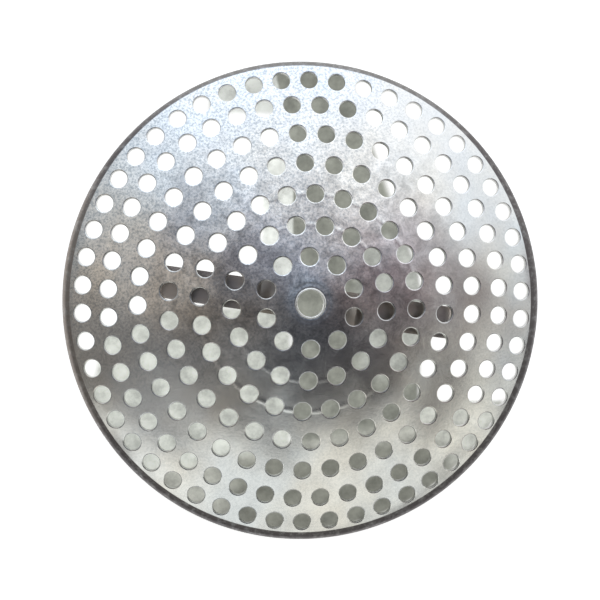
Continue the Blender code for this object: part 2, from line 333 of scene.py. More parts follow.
def lay_reflection_tint(tree, place, colour, tint_patch):
    """Lays one soft round tint of painted reflection over a colour: full in its middle, none at its radius,
    ragged between.

    The noise that breaks it up is one half on average, so the strength is doubled.
    """
    middle, radius, strength, tone = tint_patch
    reach = add_node(tree, "VectorMath", {0: place}, operation="DISTANCE", in_1=middle)
    ragged = add_node(tree, "TexNoise", {"Vector": place}, Scale=TINT_PATCH_BREAKS / radius, Detail=3.0)
    near = add_node(tree, "MapRange", {"Value": reach.outputs["Value"]}, interpolation_type="SMOOTHSTEP",
                    in_1=TINT_PATCH_CORE * radius, in_2=radius, in_3=2 * strength, in_4=0.0)
    amount = add_node(tree, "Math", {0: near.outputs[0], 1: ragged.outputs["Fac"]}, operation="MULTIPLY")
    mixed = add_node(tree, "Mix", {"Factor": amount.outputs[0], 6: colour}, data_type="RGBA",
                     blend_type="MULTIPLY", in_7=linear(tone))
    return mixed.outputs[2]


def soft_patch(tree, edges):
    """One inside all of its edges and zero outside.

    Each edge is a smooth step of how far a place or a direction reaches along a vector: (source, vector,
    reading at zero, reading at one).
    """
    steps = []
    for source, along, off, full in edges:
        reach = add_node(tree, "VectorMath", {0: source}, operation="DOT_PRODUCT", in_1=along)
        step = add_node(tree, "MapRange", {"Value": reach.outputs["Value"]}, interpolation_type="SMOOTHSTEP",
                        in_1=off, in_2=full, in_3=0.0, in_4=1.0)
        steps.append(step.outputs[0])
    patch = steps[0]
    for step in steps[1:]:
        patch = add_node(tree, "Math", {0: patch, 1: step}, operation="MULTIPLY").outputs[0]
    return patch


def rim_painted_shade(tree, place):
    """How much painted shade lies on the drawn rim, from zero to one.

    It is a step of the distance from the axis, which comes later towards the back and sooner towards the
    right. It is less on the lip, and a little mottled.
    """
    flat = add_node(tree, "VectorMath", {0: place}, operation="MULTIPLY", in_1=(1.0, 1.0, 0.0))
    radius = add_node(tree, "VectorMath", {0: flat.outputs[0]}, operation="LENGTH").outputs["Value"]
    back = soft_patch(tree, [(place, (0.0, 1.0, 0.0), *RIM_SHADE_NARROWING)])
    start = add_node(tree, "Math", {0: back, 2: radius}, operation="MULTIPLY_ADD", in_1=-RIM_SHADE_NARROWS)
    slant = add_node(tree, "VectorMath", {0: place}, operation="DOT_PRODUCT", in_1=(RIM_SHADE_SLANT, 0.0, 0.0))
    start = add_node(tree, "Math", {0: start.outputs[0], 1: slant.outputs["Value"]}, operation="ADD")
    band = add_node(tree, "MapRange", {"Value": start.outputs[0]}, in_1=DOME_RADIUS - RIM_SHADE_BAND[0],
                    in_2=DOME_RADIUS - RIM_SHADE_BAND[1], in_3=0.0, in_4=1.0)
    lip = soft_patch(tree, [(place, (0.0, 0.0, 1.0), *LIP_SHADE_FADE)])
    left = add_node(tree, "MapRange", {"Value": lip}, in_1=0.0, in_2=1.0, in_3=1.0,
                    in_4=1.0 - LIP_SHADE_LOST)
    shaded = add_node(tree, "Math", {0: band.outputs[0], 1: left.outputs[0]}, operation="MULTIPLY")
    size, reach, least = RIM_MOTTLE
    mottle = add_node(tree, "TexNoise", {"Vector": place}, Scale=1 / size, Detail=5.0, Roughness=0.7)
    mottle = add_node(tree, "MapRange", {"Value": mottle.outputs["Fac"]}, in_1=reach[0], in_2=reach[1],
                      in_3=1.0, in_4=least)
    shaded = add_node(tree, "Math", {0: shaded.outputs[0], 1: mottle.outputs[0]}, operation="MULTIPLY")
    return shaded.outputs[0]


def plated_sheet():
    """Zinc-plated cold-rolled sheet, pressed and punched: a metal mirror dulled by the plating's grain.

    The eye sees a satin grey with a fine bluish spangle towards the back left, smudges of painted highlight
    and shade round the middle, slow tints of painted reflection in cool, brown and violet, plain grey walls
    in the holes, and a dark band of painted shade where the rim is drawn over.
    """
    finish, tree = new_material("zinc_plated_pressed_sheet")
    place = add_node(tree, "TexCoord").outputs["Object"]
    slow = add_node(tree, "TexNoise", {"Vector": place}, Scale=1 / TINT_SIZE, Detail=3.0, Roughness=0.55)
    grain = add_node(tree, "TexNoise", {"Vector": place}, Scale=1 / PLATING_GRAIN, Detail=2.0, Roughness=0.6)
    cloud = add_node(tree, "TexNoise", {"Vector": place}, Scale=1 / PLATING_CLOUD, Detail=4.0, Roughness=0.6)
    tint = add_node(tree, "ValToRGB", {"Fac": slow.outputs["Fac"]})
    set_ramp(tint, TINTS)
    colour = tint.outputs[0]
    # Painted reflection: soft tints where the metal mirrors warm and cool surroundings
    for one in SHEET_REFLECTION_TINTS:
        colour = lay_reflection_tint(tree, place, colour, one)
    spangle = add_node(tree, "ValToRGB", {"Fac": grain.outputs["Fac"]})
    set_ramp(spangle, SPANGLE)
    side = soft_patch(tree, [(place, *edge) for edge in SPANGLE_SIDES])
    side = add_node(tree, "MapRange", {"Value": side}, in_1=0.0, in_2=1.0, in_3=SPANGLE_CALM, in_4=1.0)
    spangle = add_node(tree, "Mix", {"Factor": side.outputs[0], 7: spangle.outputs[0]}, data_type="RGBA",
                       in_6=linear(CALM_TONE))
    # Painted highlight and shade in smudges round the middle
    painted_sheen = add_node(tree, "TexNoise", {"Vector": place}, Scale=1 / PAINTED_SHEEN_SIZE, Detail=6.0, Roughness=0.72,
                      Distortion=0.5)
    painted_sheen = add_node(tree, "MapRange", {"Value": painted_sheen.outputs["Fac"]}, in_1=NOISE_REACH[0],
                      in_2=NOISE_REACH[1], in_3=PAINTED_SHEEN_TONES[0], in_4=PAINTED_SHEEN_TONES[1])
    sheen_area = soft_patch(tree, [(place, *edge) for edge in PAINTED_SHEEN_SIDES])
    painted_sheen = add_node(tree, "Math", {0: painted_sheen.outputs[0], 1: sheen_area}, operation="MULTIPLY_ADD", in_2=1.0)
    shade = add_node(tree, "VectorMath", {0: colour, 1: spangle.outputs[2]}, operation="MULTIPLY")
    shade = add_node(tree, "VectorMath", {0: shade.outputs[0], 1: painted_sheen.outputs[0]}, operation="MULTIPLY")
    normal = add_node(tree, "SeparateXYZ", {0: add_node(tree, "NewGeometry").outputs["Normal"]})
    level = add_node(tree, "Math", {0: normal.outputs["Z"]}, operation="ABSOLUTE").outputs[0]
    cut = add_node(tree, "MapRange", {"Value": level}, in_1=CUT_UPRIGHT[0], in_2=CUT_UPRIGHT[1], in_3=0.0,
                   in_4=1.0)
    shade = add_node(tree, "Mix", {"Factor": cut.outputs[0], 6: shade.outputs[0]}, data_type="RGBA",
                     in_7=linear(PUNCH_CUT[0]))
    # Painted shade: the dark band on the drawn rim, in place of the dark surroundings that its shoulder
    # mirrors
    rim_shading = rim_painted_shade(tree, place)
    rim_shading_left = soft_patch(tree, [(place, (-1.0, 0.0, 0.0), *RIM_SHADE_LEFT_TONE[1])])
    rim_shading_back = soft_patch(tree, [(place, (0.0, 1.0, 0.0), *RIM_SHADE_BACK_TONE[1])])
    rim = add_node(tree, "Mix", {"Factor": rim_shading_back}, data_type="RGBA", in_6=linear(RIM_SHADE_TONE),
                   in_7=linear(RIM_SHADE_BACK_TONE[0]))
    rim = add_node(tree, "Mix", {"Factor": rim_shading_left, 6: rim.outputs[2]}, data_type="RGBA",
                   in_7=linear(RIM_SHADE_LEFT_TONE[0]))
    dark = add_node(tree, "Mix", {"Factor": rim_shading, 6: shade.outputs[2], 7: rim.outputs[2]}, data_type="RGBA")
    rough = add_node(tree, "MapRange", {"Value": cloud.outputs["Fac"]}, in_1=NOISE_REACH[0],
                     in_2=NOISE_REACH[1], in_3=SHEET_ROUGHNESS[0], in_4=SHEET_ROUGHNESS[1])
    rough = add_node(tree, "Mix", {"Factor": cut.outputs[0], 2: rough.outputs[0]}, data_type="FLOAT",
                     in_3=PUNCH_CUT[1])
    rough = add_node(tree, "Mix", {"Factor": rim_shading, 2: rough.outputs[0]}, data_type="FLOAT",
                     in_3=RIM_ROUGHNESS)
    relief = add_node(tree, "Bump", {"Height": grain.outputs["Fac"]}, Strength=1.0, Distance=GRAIN_HEIGHT)
    dents = add_node(tree, "Bump", {"Height": cloud.outputs["Fac"], "Normal": relief.outputs[0]},
                     Strength=1.0, Distance=CLOUD_HEIGHT)
    metal = add_node(tree, "BsdfPrincipled", {"Base Color": dark.outputs[2], "Roughness": rough.outputs[0],
                                              "Normal": dents.outputs[0]}, Metallic=1.0)
    add_node(tree, "OutputMaterial", {"Surface": metal.outputs[0]})
    return finish


def spring_strip():
    """Hardened spring-steel strip, rolled: darker than the sheet, with faint streaks along its length.

    Rolling marks are finer than these streaks, which are drawn as coarse as it takes to see them.
    """
    finish, tree = new_material("rolled_spring_steel_strip")
    place = add_node(tree, "TexCoord").outputs["Object"]
    along = add_node(tree, "Mapping", {"Vector": place}, vector_type="TEXTURE", in_2=(0.0, 0.0, STRAP_TURN),
                     in_3=(STREAK[1], 1.0, 1.0))
    streak = add_node(tree, "TexNoise", {"Vector": along.outputs[0]}, Scale=1 / STREAK[0], Detail=2.0)
    tint_patch = add_node(tree, "TexNoise", {"Vector": place}, Scale=1 / STRIP_STAIN, Detail=3.0)
    tint = add_node(tree, "ValToRGB", {"Fac": tint_patch.outputs["Fac"]})
    set_ramp(tint, STRIP_TONES)
    rough = add_node(tree, "MapRange", {"Value": streak.outputs["Fac"]}, in_1=NOISE_REACH[0],
                     in_2=NOISE_REACH[1], in_3=STRIP_ROUGHNESS[0], in_4=STRIP_ROUGHNESS[1])
    relief = add_node(tree, "Bump", {"Height": streak.outputs["Fac"]}, Strength=1.0, Distance=STREAK_HEIGHT)
    metal = add_node(tree, "BsdfPrincipled", {"Base Color": tint.outputs[0], "Roughness": rough.outputs[0],
                                              "Normal": relief.outputs[0]}, Metallic=1.0)
    add_node(tree, "OutputMaterial", {"Surface": metal.outputs[0]})
    return finish


def plated_rivet():
    """Nickel-plated tubular rivet: brighter and smoother than the sheet, with faint smears."""
    finish, tree = new_material("nickel_plated_tube_rivet")
    place = add_node(tree, "TexCoord").outputs["Object"]
    smear = add_node(tree, "TexNoise", {"Vector": place}, Scale=1 / SMEAR, Detail=2.0)
    tint = add_node(tree, "ValToRGB", {"Fac": smear.outputs["Fac"]})
    set_ramp(tint, RIVET_TONES)
    rough = add_node(tree, "MapRange", {"Value": smear.outputs["Fac"]}, in_1=NOISE_REACH[0],
                     in_2=NOISE_REACH[1], in_3=RIVET_ROUGHNESS[0], in_4=RIVET_ROUGHNESS[1])
    metal = add_node(tree, "BsdfPrincipled", {"Base Color": tint.outputs[0], "Roughness": rough.outputs[0]},
                     Metallic=1.0)
    add_node(tree, "OutputMaterial", {"Surface": metal.outputs[0]})
    return finish


def press_section():
    """Section of the pressed sheet: distance along it, radius, height and slope, as four arrays.

    The slope is zero on the seat. Past it the slope is the cone's, times 1 - exp(-distance / knee), plus
    the distance over the crown's radius. Radius and height are running sums of its cosine and of minus its
    sine. Where an arc of the shoulder's radius just reaches the dome's radius, the arc takes over, turns to
    a right angle and runs straight down into the lip.
    """
    along = np.linspace(0.0, DOME_RADIUS + SHOULDER_RADIUS, PRESS_STEPS)
    past_seat = np.maximum(0.0, along - SEAT_RADIUS)
    slope = CONE * (1 - np.exp(-past_seat / KNEE_LENGTH)) + past_seat / CROWN_RADIUS
    middle = (slope[1:] + slope[:-1]) / 2
    radius = np.append(0.0, np.cumsum(along[1] * np.cos(middle)))
    height = -np.append(0.0, np.cumsum(along[1] * np.sin(middle)))
    crown = np.interp(DOME_RADIUS, radius + SHOULDER_RADIUS * (1 - np.sin(slope)), along)
    end_slope, end_height = np.interp(crown, along, slope), np.interp(crown, along, height)
    turn = np.linspace(end_slope, math.pi / 2, PRESS_STEPS)
    hub = end_height - SHOULDER_RADIUS * math.cos(end_slope)
    kept = along < crown
    shoulder_end = crown + SHOULDER_RADIUS * (math.pi / 2 - end_slope)
    shoulder = crown + SHOULDER_RADIUS * (turn - end_slope)
    section = [
        np.concatenate([along[kept], shoulder, [shoulder_end + LIP_LENGTH]]),
        np.concatenate([radius[kept], DOME_RADIUS - SHOULDER_RADIUS * (1 - np.sin(turn)), [DOME_RADIUS]]),
        np.concatenate([height[kept], hub + SHOULDER_RADIUS * np.cos(turn), [hub - LIP_LENGTH]]),
        np.concatenate([slope[kept], turn, [math.pi / 2]]),
    ]
    section[2] -= section[2][-1]
    return section, crown


SECTION, CROWN_LENGTH = press_section()
SHEET_END = SECTION[0][-1]
RINGS = FIRST_RING + (CROWN_LENGTH - LAST_RING_MARGIN - FIRST_RING) * RING_PLACE_SHARES
HOLE_COUNTS = np.round(2 * math.pi * RINGS / (2 * HOLE_RADIUS + HOLE_WEB)).astype(int)
BAND_HALF = HOLE_RADIUS + BAND_MARGIN


def lay_on_press(x, y, depth):
    """Carries flat sheet points to the pressed shape.

    A point's distance from the middle is its distance along the section, its angle stays, and it lies depth
    below the outer surface, square to it. The sheet is raised by a crease on two rings, exp(-(offset /
    width)^2), which is strongest at one angle and its opposite, and sunk by such a groove round the seat,
    deepest at the back. The seat is dished by a parabola down to its edge, which fades outside it. Slow
    waves, sines of x and y added up, raise and sink the rest, and are calm at the seat and the rim.
    """
    along, angle = np.hypot(x, y), np.arctan2(y, x)
    radius, height, slope = [np.interp(along, SECTION[0], column) for column in SECTION[1:]]
    crease = sum(np.exp(-((along - RINGS[ring]) / CREASE_WIDTH) ** 2) for ring in CREASED_RINGS)
    crease *= CREASE_WEAKEST + (1 - CREASE_WEAKEST) * np.cos(angle - CREASE_STRONG_TURN) ** 2
    groove = np.exp(-((along - SEAT_RADIUS) / GROOVE_WIDTH) ** 2) * (0.5 + 0.5 * np.sin(angle)) ** 2
    dish = np.clip((along - BARREL_RADIUS) / (SEAT_RADIUS - BARREL_RADIUS), 0, 1) ** 2
    dish *= np.exp(-(np.maximum(along - SEAT_RADIUS, 0) / DISH_FADE) ** 2)
    wave = sum(np.sin(2 * math.pi * (x / across + y / up) + phase) for across, up, phase in WAVES)
    calm = np.clip((CROWN_LENGTH - along) / SHOULDER_RADIUS, 0, 1)
    calm = calm * np.clip((along - SEAT_RADIUS) / SEAT_RADIUS, 0, 1)
    raised = CREASE_HEIGHT * crease - GROOVE_DEPTH * groove - DISH_DEPTH * dish
    raised = raised + WAVE_HEIGHT * wave * calm - depth
    outward, up = radius + raised * np.sin(slope), height + raised * np.cos(slope)
    return np.stack([outward * np.cos(angle), outward * np.sin(angle), up], axis=-1)


def grid_faces(rows, columns, first, closed=True):
    """Quads between neighbouring rows of points that are numbered row by row from first."""
    reach = columns if closed else columns - 1
    row, column = np.meshgrid(np.arange(rows - 1), np.arange(reach), indexing="ij")
    here, there = column, (column + 1) % columns
    above, below = row * columns, (row + 1) * columns
    quads = [above + here, above + there, below + there, below + here]
    return first + np.stack(quads, axis=-1).reshape(-1, 4)


def punched_ring(ring):
    """Holes of one ring, each a closed grid from its cell's edge over the hole's lip and back below.

    A column leaves the hole at its angle and ends on the cell's edge: the square that holds the unit
    circle, with one axis stretched to the band's half width and the other to half the angle between holes.
    Rows go from that edge to the rolled lip, round it in a quarter circle, down the wall, over the burr and
    out again on the underside.
    """
    count = HOLE_COUNTS[ring]
    middle = math.radians(RING_STARTS_DEG[ring]) + 2 * math.pi * np.arange(count)[:, None, None] / count
    turn = 2 * math.pi * np.arange(HOLE_SIDES)[None, None, :] / HOLE_SIDES
    side = np.maximum(abs(np.cos(turn)), abs(np.sin(turn)))
    edge_along = RINGS[ring] + BAND_HALF * np.cos(turn) / side
    edge_angle = middle + math.pi / count * np.sin(turn) / side
    roll = np.linspace(0, math.pi / 2, ROLL_STEPS + 1)
    outset = np.concatenate([PUNCH_ROLL * (1 - np.sin(roll)), [0.0, PUNCH_BURR]])
    lip_depth = np.concatenate([PUNCH_ROLL * (1 - np.cos(roll)), [SHEET - PUNCH_BURR, SHEET]])
    outset = np.concatenate([[PUNCH_ROLL + PUNCH_HOLD] * 2, outset, [PUNCH_BURR + PUNCH_HOLD, PUNCH_BURR]])
    depth = np.concatenate([[0.0] * 2, lip_depth, [SHEET] * 2])[None, :, None]
    spread = np.concatenate([[1.0], 0 * outset[1:-1], [1.0]])[None, :, None]
    outset = outset[None, :, None]
    hole_x = RINGS[ring] * np.cos(middle) + (HOLE_RADIUS + outset) * np.cos(middle + turn)
    hole_y = RINGS[ring] * np.sin(middle) + (HOLE_RADIUS + outset) * np.sin(middle + turn)
    x = hole_x + (edge_along * np.cos(edge_angle) - hole_x) * spread
    y = hole_y + (edge_along * np.sin(edge_angle) - hole_y) * spread
    points = lay_on_press(x, y, depth + 0 * x).reshape(-1, 3)
    rows = depth.shape[1]
    one = grid_faces(rows, HOLE_SIDES, 0)
    faces = (one[None] + np.arange(count)[:, None, None] * rows * HOLE_SIDES).reshape(-1, 4)
    return points, faces


def edge_angles(ring):
    """Angles of the points where the cells of one ring meet its band's edge circles, in rising order."""
    count = HOLE_COUNTS[ring]
    share = np.tan(2 * math.pi * np.arange(-HOLE_SIDES // 8, HOLE_SIDES // 8) / HOLE_SIDES)
    middle = math.radians(RING_STARTS_DEG[ring]) + 2 * math.pi * np.arange(count)[:, None] / count
    return np.sort(((middle + math.pi / count * share) % (2 * math.pi)).ravel())


def between_rings(ring):
    """Two strips, above and below, that join the unlike point counts of one ring's band and the next.

    All the points are taken in the order of their angles, and each closes a triangle with the latest
    earlier point on either circle.
    """
    inner, outer = edge_angles(ring), edge_angles(ring + 1)
    angle = np.concatenate([inner, outer])
    along = np.repeat([RINGS[ring] + BAND_HALF, RINGS[ring + 1] - BAND_HALF], [len(inner), len(outer)])
    order = np.argsort(angle, kind="stable")
    step = np.arange(len(order))
    is_inner = order < len(inner)
    last_inner = np.roll(np.maximum.accumulate(np.where(is_inner, step, -1)), 1)
    last_outer = np.roll(np.maximum.accumulate(np.where(is_inner, -1, step)), 1)
    last_inner = np.where((last_inner < 0) | (step == 0), step[is_inner][-1], last_inner)
    last_outer = np.where((last_outer < 0) | (step == 0), step[~is_inner][-1], last_outer)
    faces = np.stack([order[last_inner], order[last_outer], order], axis=-1)
    x, y = along * np.cos(angle), along * np.sin(angle)
    points = np.concatenate([lay_on_press(x, y, 0 * x), lay_on_press(x, y, 0 * x + SHEET)])
    return points, np.concatenate([faces, faces[:, ::-1] + len(order)])


def turned_band(ring, along, depth):
    """Rows of points at one distance along the sheet and one depth each, on the edge angles of one ring."""
    angle = edge_angles(ring)[None, :]
    x, y = along[:, None] * np.cos(angle), along[:, None] * np.sin(angle)
    points = lay_on_press(x, y, depth[:, None] + 0 * x).reshape(-1, 3)
    return points, grid_faces(len(along), angle.shape[1], 0)


def middle_band():
    """The seat: from the first ring's band to the middle hole, round its rolled lip and back below."""
    hole = BARREL_RADIUS + BARREL_GAP
    roll = np.linspace(0, math.pi / 2, EDGE_STEPS + 1)
    seat = np.linspace(RINGS[0] - BAND_HALF, hole + PUNCH_ROLL, SEAT_STEPS)
    along = np.concatenate([seat, hole + PUNCH_ROLL * (1 - np.sin(roll[1:])), [hole], seat[::-1]])
    depth = np.concatenate([0 * seat, PUNCH_ROLL * (1 - np.cos(roll[1:])), [SHEET], 0 * seat + SHEET])
    return turned_band(0, along, depth)


def rim_band():
    """The rim: from the last ring's band over the shoulder, down the lip and back up inside it."""
    shoulder = np.linspace(CROWN_LENGTH, SHEET_END - LIP_LENGTH, SHOULDER_STEPS)
    lip = SHEET_END - np.array([LIP_LENGTH / 2, RIM_EDGE_ROUND])
    outside = np.concatenate([[RINGS[-1] + BAND_HALF], shoulder, lip])
    turn = np.linspace(0, math.pi / 2, EDGE_STEPS + 1)[1:]
    edge_along = SHEET_END - RIM_EDGE_ROUND * (1 - np.sin(turn))
    edge_depth = RIM_EDGE_ROUND * (1 - np.cos(turn))
    along = np.concatenate([outside, edge_along, edge_along[::-1], outside[::-1]])
    depth = np.concatenate([0 * outside, edge_depth, SHEET - edge_depth[::-1], 0 * outside + SHEET])
    return turned_band(len(RINGS) - 1, along, depth)


def new_piece(name, parts, finish, body, node, sharp_deg=38):
    """One mesh from (points, faces) parts, with shared points merged and its faces turned outwards."""
    starts = np.cumsum([0] + [len(points) for points, _ in parts])
    faces = []
    for start, (_, part_faces) in zip(starts, parts):
        faces += (part_faces + start).tolist()
    mesh = bpy.data.meshes.new(name)
    mesh.from_pydata(np.concatenate([points for points, _ in parts]).tolist(), [], faces)
    work = bmesh.new()
    work.from_mesh(mesh)
    bmesh.ops.remove_doubles(work, verts=work.verts, dist=WELD)
    bmesh.ops.recalc_face_normals(work, faces=work.faces)
    work.to_mesh(mesh)
    work.free()
    mesh.shade_smooth()
    mesh.set_sharp_from_angle(angle=math.radians(sharp_deg))
    mesh.materials.append(finish)
    piece = bpy.data.objects.new(name, mesh)
    bpy.context.scene.collection.objects.link(piece)
    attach(piece, body)
    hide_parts(node)
    return piece


def punched_dome(finish):
    """The whole sheet: seven punched rings, the strips between them, the seat and the rim."""
    parts = [punched_ring(ring) for ring in range(len(RINGS))]
    parts += [between_rings(ring) for ring in range(len(RINGS) - 1)]
    parts += [middle_band(), rim_band()]
    return new_piece("punched_dome", parts, finish, "dome", "perforated_dome")


def tube_rivet(finish):
    """Turned wall of the tubular rivet: its closed outline of arcs, carried round the axis.

    The head is half an ellipse between the bore and its edge, on the dome. The curl below the strap's eye
    is one too, on a short straight mouth.
    """
    turn = np.linspace(0, math.pi, 2 * ARC_STEPS + 1)
    head_middle, head_half = (BORE_RADIUS + HEAD_RADIUS) / 2, (HEAD_RADIUS - BORE_RADIUS) / 2
    curl_middle, curl_half = (BORE_RADIUS + CURL_RADIUS) / 2, (CURL_RADIUS - BORE_RADIUS) / 2
    curl_top = DOME_TOP - SHEET - 2 * SEAT_GAP - STRAP_THICKNESS
    head_x = head_middle + head_half * np.cos(turn)
    head_z = DOME_TOP + HEAD_LIFT + HEAD_HEIGHT * np.sin(turn)
    curl_x = curl_middle - curl_half * np.cos(turn)
    curl_z = curl_top - CURL_HEIGHT * (CURL_MOUTH_SHARE + (1 - CURL_MOUTH_SHARE) * np.sin(turn))
    x = np.concatenate([head_x, curl_x, [CURL_RADIUS, BARREL_RADIUS, BARREL_RADIUS]])[:, None]
    z = np.concatenate([head_z, curl_z, [curl_top, curl_top, DOME_TOP + HEAD_LIFT]])[:, None]
    angle = 2 * math.pi * np.arange(RIVET_SIDES) / RIVET_SIDES
    points = np.stack([x * np.cos(angle), x * np.sin(angle), z + 0 * angle], axis=-1)
    faces = grid_faces(len(x), RIVET_SIDES, 0)
    last = grid_faces(2, RIVET_SIDES, 0)
    close = np.where(last >= RIVET_SIDES, last - RIVET_SIDES, last + (len(x) - 1) * RIVET_SIDES)
    parts = [(points.reshape(-1, 3), np.concatenate([faces, close]))]
    return new_piece("tube_rivet", parts, finish, "dome", "hollow_rivet")


def bent_path():
    """Distance along one arm, and the reach and the height of its upper surface.

    They are straight runs with arcs of one radius between. The corners are the eye's flat, the step down,
    the arm under the dome's slope, the leg and the turned-in toe.
    """
    strap_top = DOME_TOP - SHEET - SEAT_GAP
    step_start = EYE_RADIUS + EYE_MARGIN
    dome_over_end = np.interp(STRAP_REACH, SECTION[1], SECTION[2])
    corners = np.array([
        (0.0, strap_top),
        (step_start, strap_top),
        (step_start + STEP_RUN, strap_top - STEP_DROP),
        (STRAP_REACH - LEG_FLARE, dome_over_end - SHEET - ARM_CLEARANCE),
        (STRAP_REACH, TOE_CLEARANCE),
        (STRAP_REACH - TOE_LENGTH, TOE_CLEARANCE + TOE_RISE),
    ])
    path = [corners[:1]]
    for before, corner, after in zip(corners, corners[1:], corners[2:]):
        come = math.atan2(*(corner - before)[::-1])
        turn = math.remainder(math.atan2(*(after - corner)[::-1]) - come, 2 * math.pi)
        side = math.copysign(1.0, turn)
        start = corner - BEND_RADIUS * math.tan(abs(turn) / 2) * np.array([math.cos(come), math.sin(come)])
        hub = start + side * BEND_RADIUS * np.array([-math.sin(come), math.cos(come)])
        heading = come + turn * np.linspace(0, 1, ARC_STEPS + 1)
        path.append(hub + side * BEND_RADIUS * np.stack([np.sin(heading), -np.cos(heading)], axis=-1))
    path = np.concatenate(path + [corners[-1:]])
    along = np.append(0.0, np.cumsum(np.hypot(*np.diff(path, axis=0).T)))
    return along, path[:, 0], path[:, 1]


def lay_strap(x, y, path):
    """Bends flat strip points down the path on both sides of the eye, and turns them to the rest angle."""
    along, reach, height = path
    out = np.copysign(np.interp(abs(x), along, reach), x)
    up = np.interp(abs(x), along, height)
    cosine, sine = math.cos(STRAP_TURN), math.sin(STRAP_TURN)
    return np.stack([out * cosine - y * sine, out * sine + y * cosine, up], axis=-1)


EYE_HALF_TURN = math.asin(STRAP_WIDTH / 2 / EYE_RADIUS)


def arm_start(turn):
    """Reach of the line where an arm leaves the eye.

    It is a parabola from the eye's radius in the middle of the strip to the points where its edges cross
    the eye's circle.
    """
    neck = EYE_RADIUS * math.cos(EYE_HALF_TURN)
    return EYE_RADIUS - (EYE_RADIUS - neck) * (np.sin(turn) / math.sin(EYE_HALF_TURN)) ** 2


def strap_eye(path):
    """The eye: columns from the rivet's hole to the eye's circle or to the start of an arm."""
    arm = np.linspace(-EYE_HALF_TURN, EYE_HALF_TURN, ARC_STEPS + 1)
    bulge = np.linspace(EYE_HALF_TURN, math.pi - EYE_HALF_TURN, 3 * ARC_STEPS + 1)
    turn = np.concatenate([arm[:-1], bulge[:-1], arm[:-1] + math.pi, bulge[:-1] + math.pi])
    joins = abs(np.sin(turn)) < math.sin(EYE_HALF_TURN)
    edge_x = np.where(joins, np.copysign(arm_start(turn), np.cos(turn)), EYE_RADIUS * np.cos(turn))
    edge_y = EYE_RADIUS * np.sin(turn)
    hole = BARREL_RADIUS + BARREL_GAP
    share = np.linspace(0, 1, EYE_ROWS)[:, None]
    x = hole * np.cos(turn) * (1 - share) + edge_x * share
    y = hole * np.sin(turn) * (1 - share) + edge_y * share
    return lay_strap(x, y, path).reshape(-1, 3), grid_faces(EYE_ROWS, len(turn), 0)


def strap_arm(path, side):
    """One arm: rows across the strip, from the eye along all bends to the end, whose corners are round."""
    turn = np.linspace(-EYE_HALF_TURN, EYE_HALF_TURN, ARC_STEPS + 1)
    across = np.sin(turn) / math.sin(EYE_HALF_TURN)
    along = path[0]
    quarter = np.sin(np.linspace(0, math.pi / 2, ARC_STEPS + 1))
    corner = along[-1] - CORNER_RADIUS + CORNER_RADIUS * quarter
    straight = along[(along > EYE_RADIUS + WELD) & (along < corner[0] - WELD)]
    x = np.concatenate([[EYE_RADIUS], straight, corner])
    past = np.clip((x - corner[0]) / CORNER_RADIUS, 0, 1)
    width = STRAP_WIDTH / 2 - CORNER_RADIUS * (1 - np.sqrt(1 - past ** 2))
    y = width[:, None] * across
    x = x[:, None] + 0 * y
    x[0] = arm_start(turn)
    points = lay_strap(side * x, y * side, path).reshape(-1, 3)
    return points, grid_faces(*x.shape, 0, closed=False)


def swivel_strap(finish):
    """The strap's outer surface, given its thickness and its rolled edges."""
    path = bent_path()
    parts = [strap_eye(path), strap_arm(path, 1), strap_arm(path, -1)]
    strap = new_piece("swivel_strap", parts, finish, "strap", "spring_strap", sharp_deg=50)
    sheet = strap.modifiers.new("strip thickness", "SOLIDIFY")
    sheet.thickness = STRAP_THICKNESS
    sheet.offset = -1
    sheet.use_even_offset = True
    rolled = strap.modifiers.new("rolled edges", "BEVEL")
    rolled.width = STRAP_EDGE_ROUND
    rolled.segments = BEVEL_STEPS
    rolled.limit_method = "ANGLE"
    rolled.angle_limit = math.radians(60)
    rolled.harden_normals = True
    return strap


